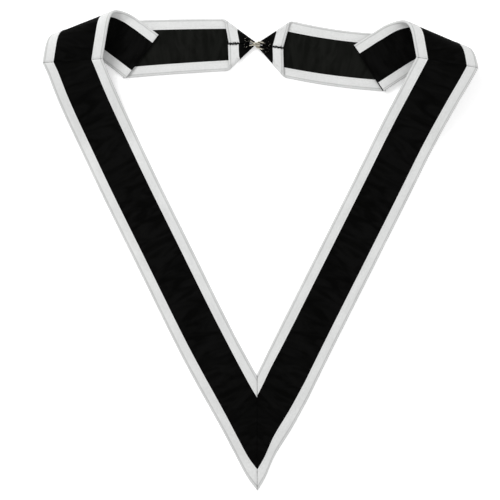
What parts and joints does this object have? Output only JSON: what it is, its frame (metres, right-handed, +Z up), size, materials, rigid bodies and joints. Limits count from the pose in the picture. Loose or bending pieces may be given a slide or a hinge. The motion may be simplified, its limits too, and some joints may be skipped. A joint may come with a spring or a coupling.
{
  "type": "masonic collar",
  "caption": "Closed loop collar of black moire ribbon with white edging, mitred to a point, rolled at the shoulders and joined behind the neck by a hook and eye.",
  "frame": {"origin": "middle of the bottom of the bounding box, on the surface that the collar lies on", "axes": "+Z up off the surface, +Y from the mitred point to the back of the neck"},
  "size_m": [0.474, 0.5332, 0.0346],
  "materials": {
    "black_ribbon": "black moire ribbon, faintly watered",
    "white_edging": "white woven binding, matt with fine ribs along it",
    "hook_metal": "plated wire, slightly dull"
  },
  "bodies": {
    "root": {"lappet_ribbon_left": "black_ribbon", "lappet_outer_edging_left": "white_edging", "lappet_inner_edging_left": "white_edging", "shoulder_ribbon_left": "black_ribbon", "shoulder_outer_edging_left": "white_edging", "shoulder_inner_edging_left": "white_edging", "neck_ribbon_left": "black_ribbon", "neck_upper_edging_left": "white_edging", "neck_lower_edging_left": "white_edging", "lappet_ribbon_right": "black_ribbon", "lappet_outer_edging_right": "white_edging", "lappet_inner_edging_right": "white_edging", "shoulder_ribbon_right": "black_ribbon", "shoulder_outer_edging_right": "white_edging", "shoulder_inner_edging_right": "white_edging", "neck_ribbon_right": "black_ribbon", "neck_upper_edging_right": "white_edging", "neck_lower_edging_right": "white_edging", "hook": "hook_metal", "eye": "hook_metal"}
  },
  "joints": []
}
